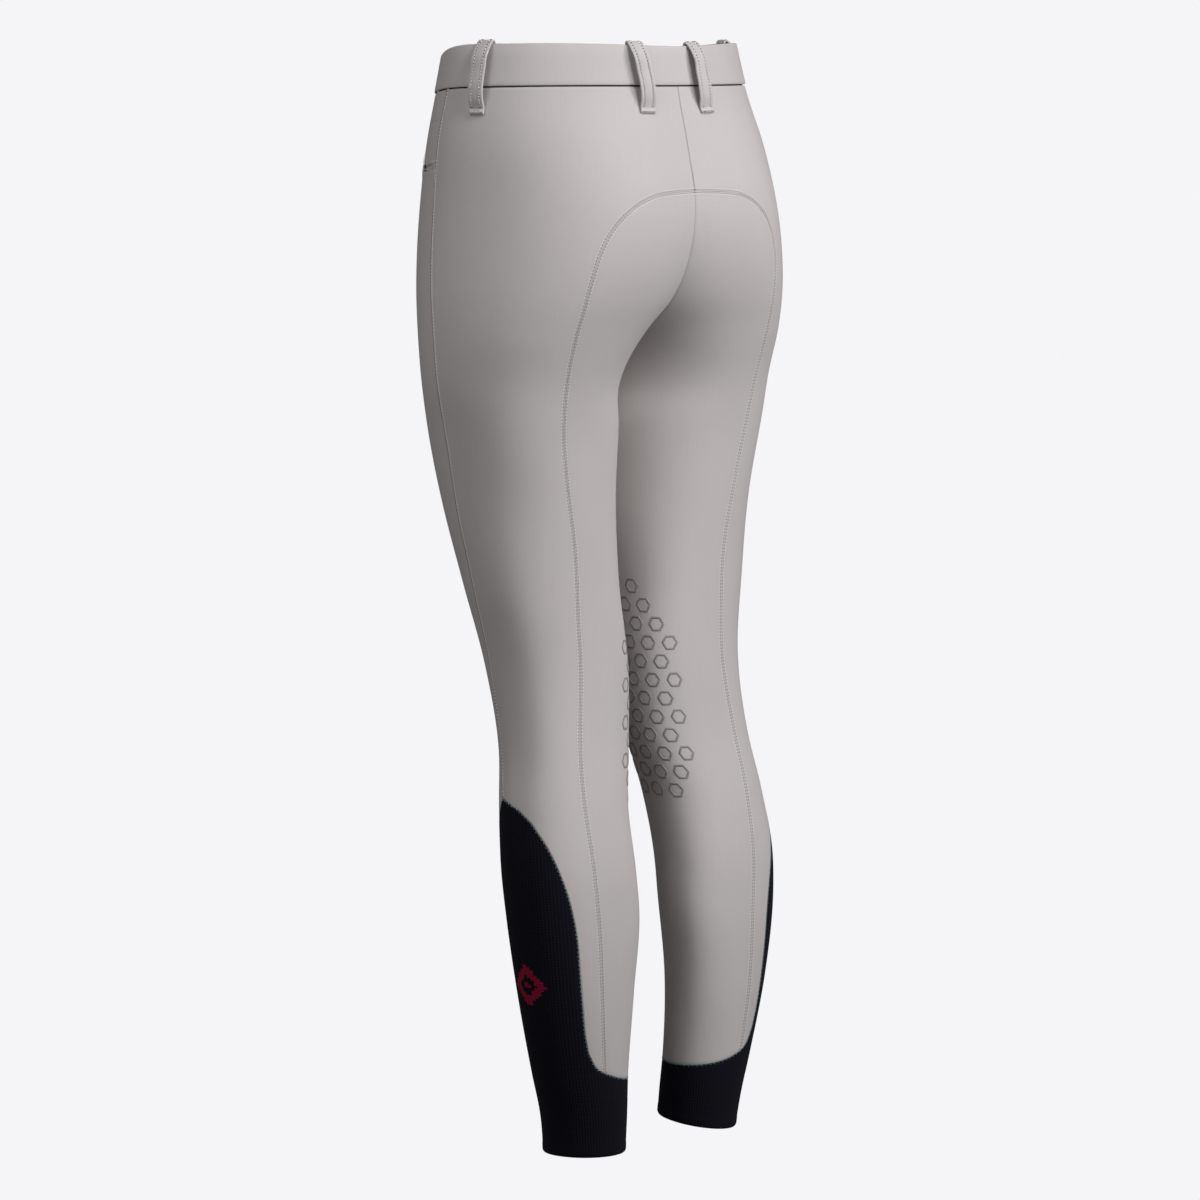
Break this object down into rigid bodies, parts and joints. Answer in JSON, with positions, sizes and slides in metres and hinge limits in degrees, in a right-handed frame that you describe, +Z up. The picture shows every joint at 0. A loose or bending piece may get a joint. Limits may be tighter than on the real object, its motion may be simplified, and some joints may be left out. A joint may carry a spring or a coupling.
{
  "type": "riding breeches",
  "caption": "Slim riding breeches filled out as if worn, with a curved seat seam, knitted ankle cuffs, belt loops and textured knee grips.",
  "frame": {"origin": "centre of the waist opening, level with the back of the band's top edge", "axes": "+Z up, out of the waist opening; front faces -Y; the wearer's left is +X"},
  "size_m": [0.3472, 0.2481, 0.952],
  "materials": {
    "stretch_cloth": "matte warm grey stretch woven cloth",
    "rib_knit": "dark navy ribbed knit",
    "dark_tape": "dark woven tape",
    "button_metal": "satin metal"
  },
  "bodies": {
    "root": {"front_panel_left": "stretch_cloth", "front_panel_right": "stretch_cloth", "pocket_facing_left": "stretch_cloth", "pocket_facing_right": "stretch_cloth", "outer_panel_left": "stretch_cloth", "outer_panel_right": "stretch_cloth", "seat_panel_left": "stretch_cloth", "seat_panel_right": "stretch_cloth", "sock_left": "rib_knit", "sock_right": "rib_knit", "waistband": "stretch_cloth", "waist_tape": "dark_tape", "belt_loop_back_left": "stretch_cloth", "belt_loop_back_right": "stretch_cloth", "belt_loop_side_left": "stretch_cloth", "belt_loop_side_right": "stretch_cloth", "belt_loop_front_left": "stretch_cloth", "belt_loop_front_right": "stretch_cloth", "fly_placket": "stretch_cloth", "waist_button": "button_metal"}
  },
  "joints": []
}
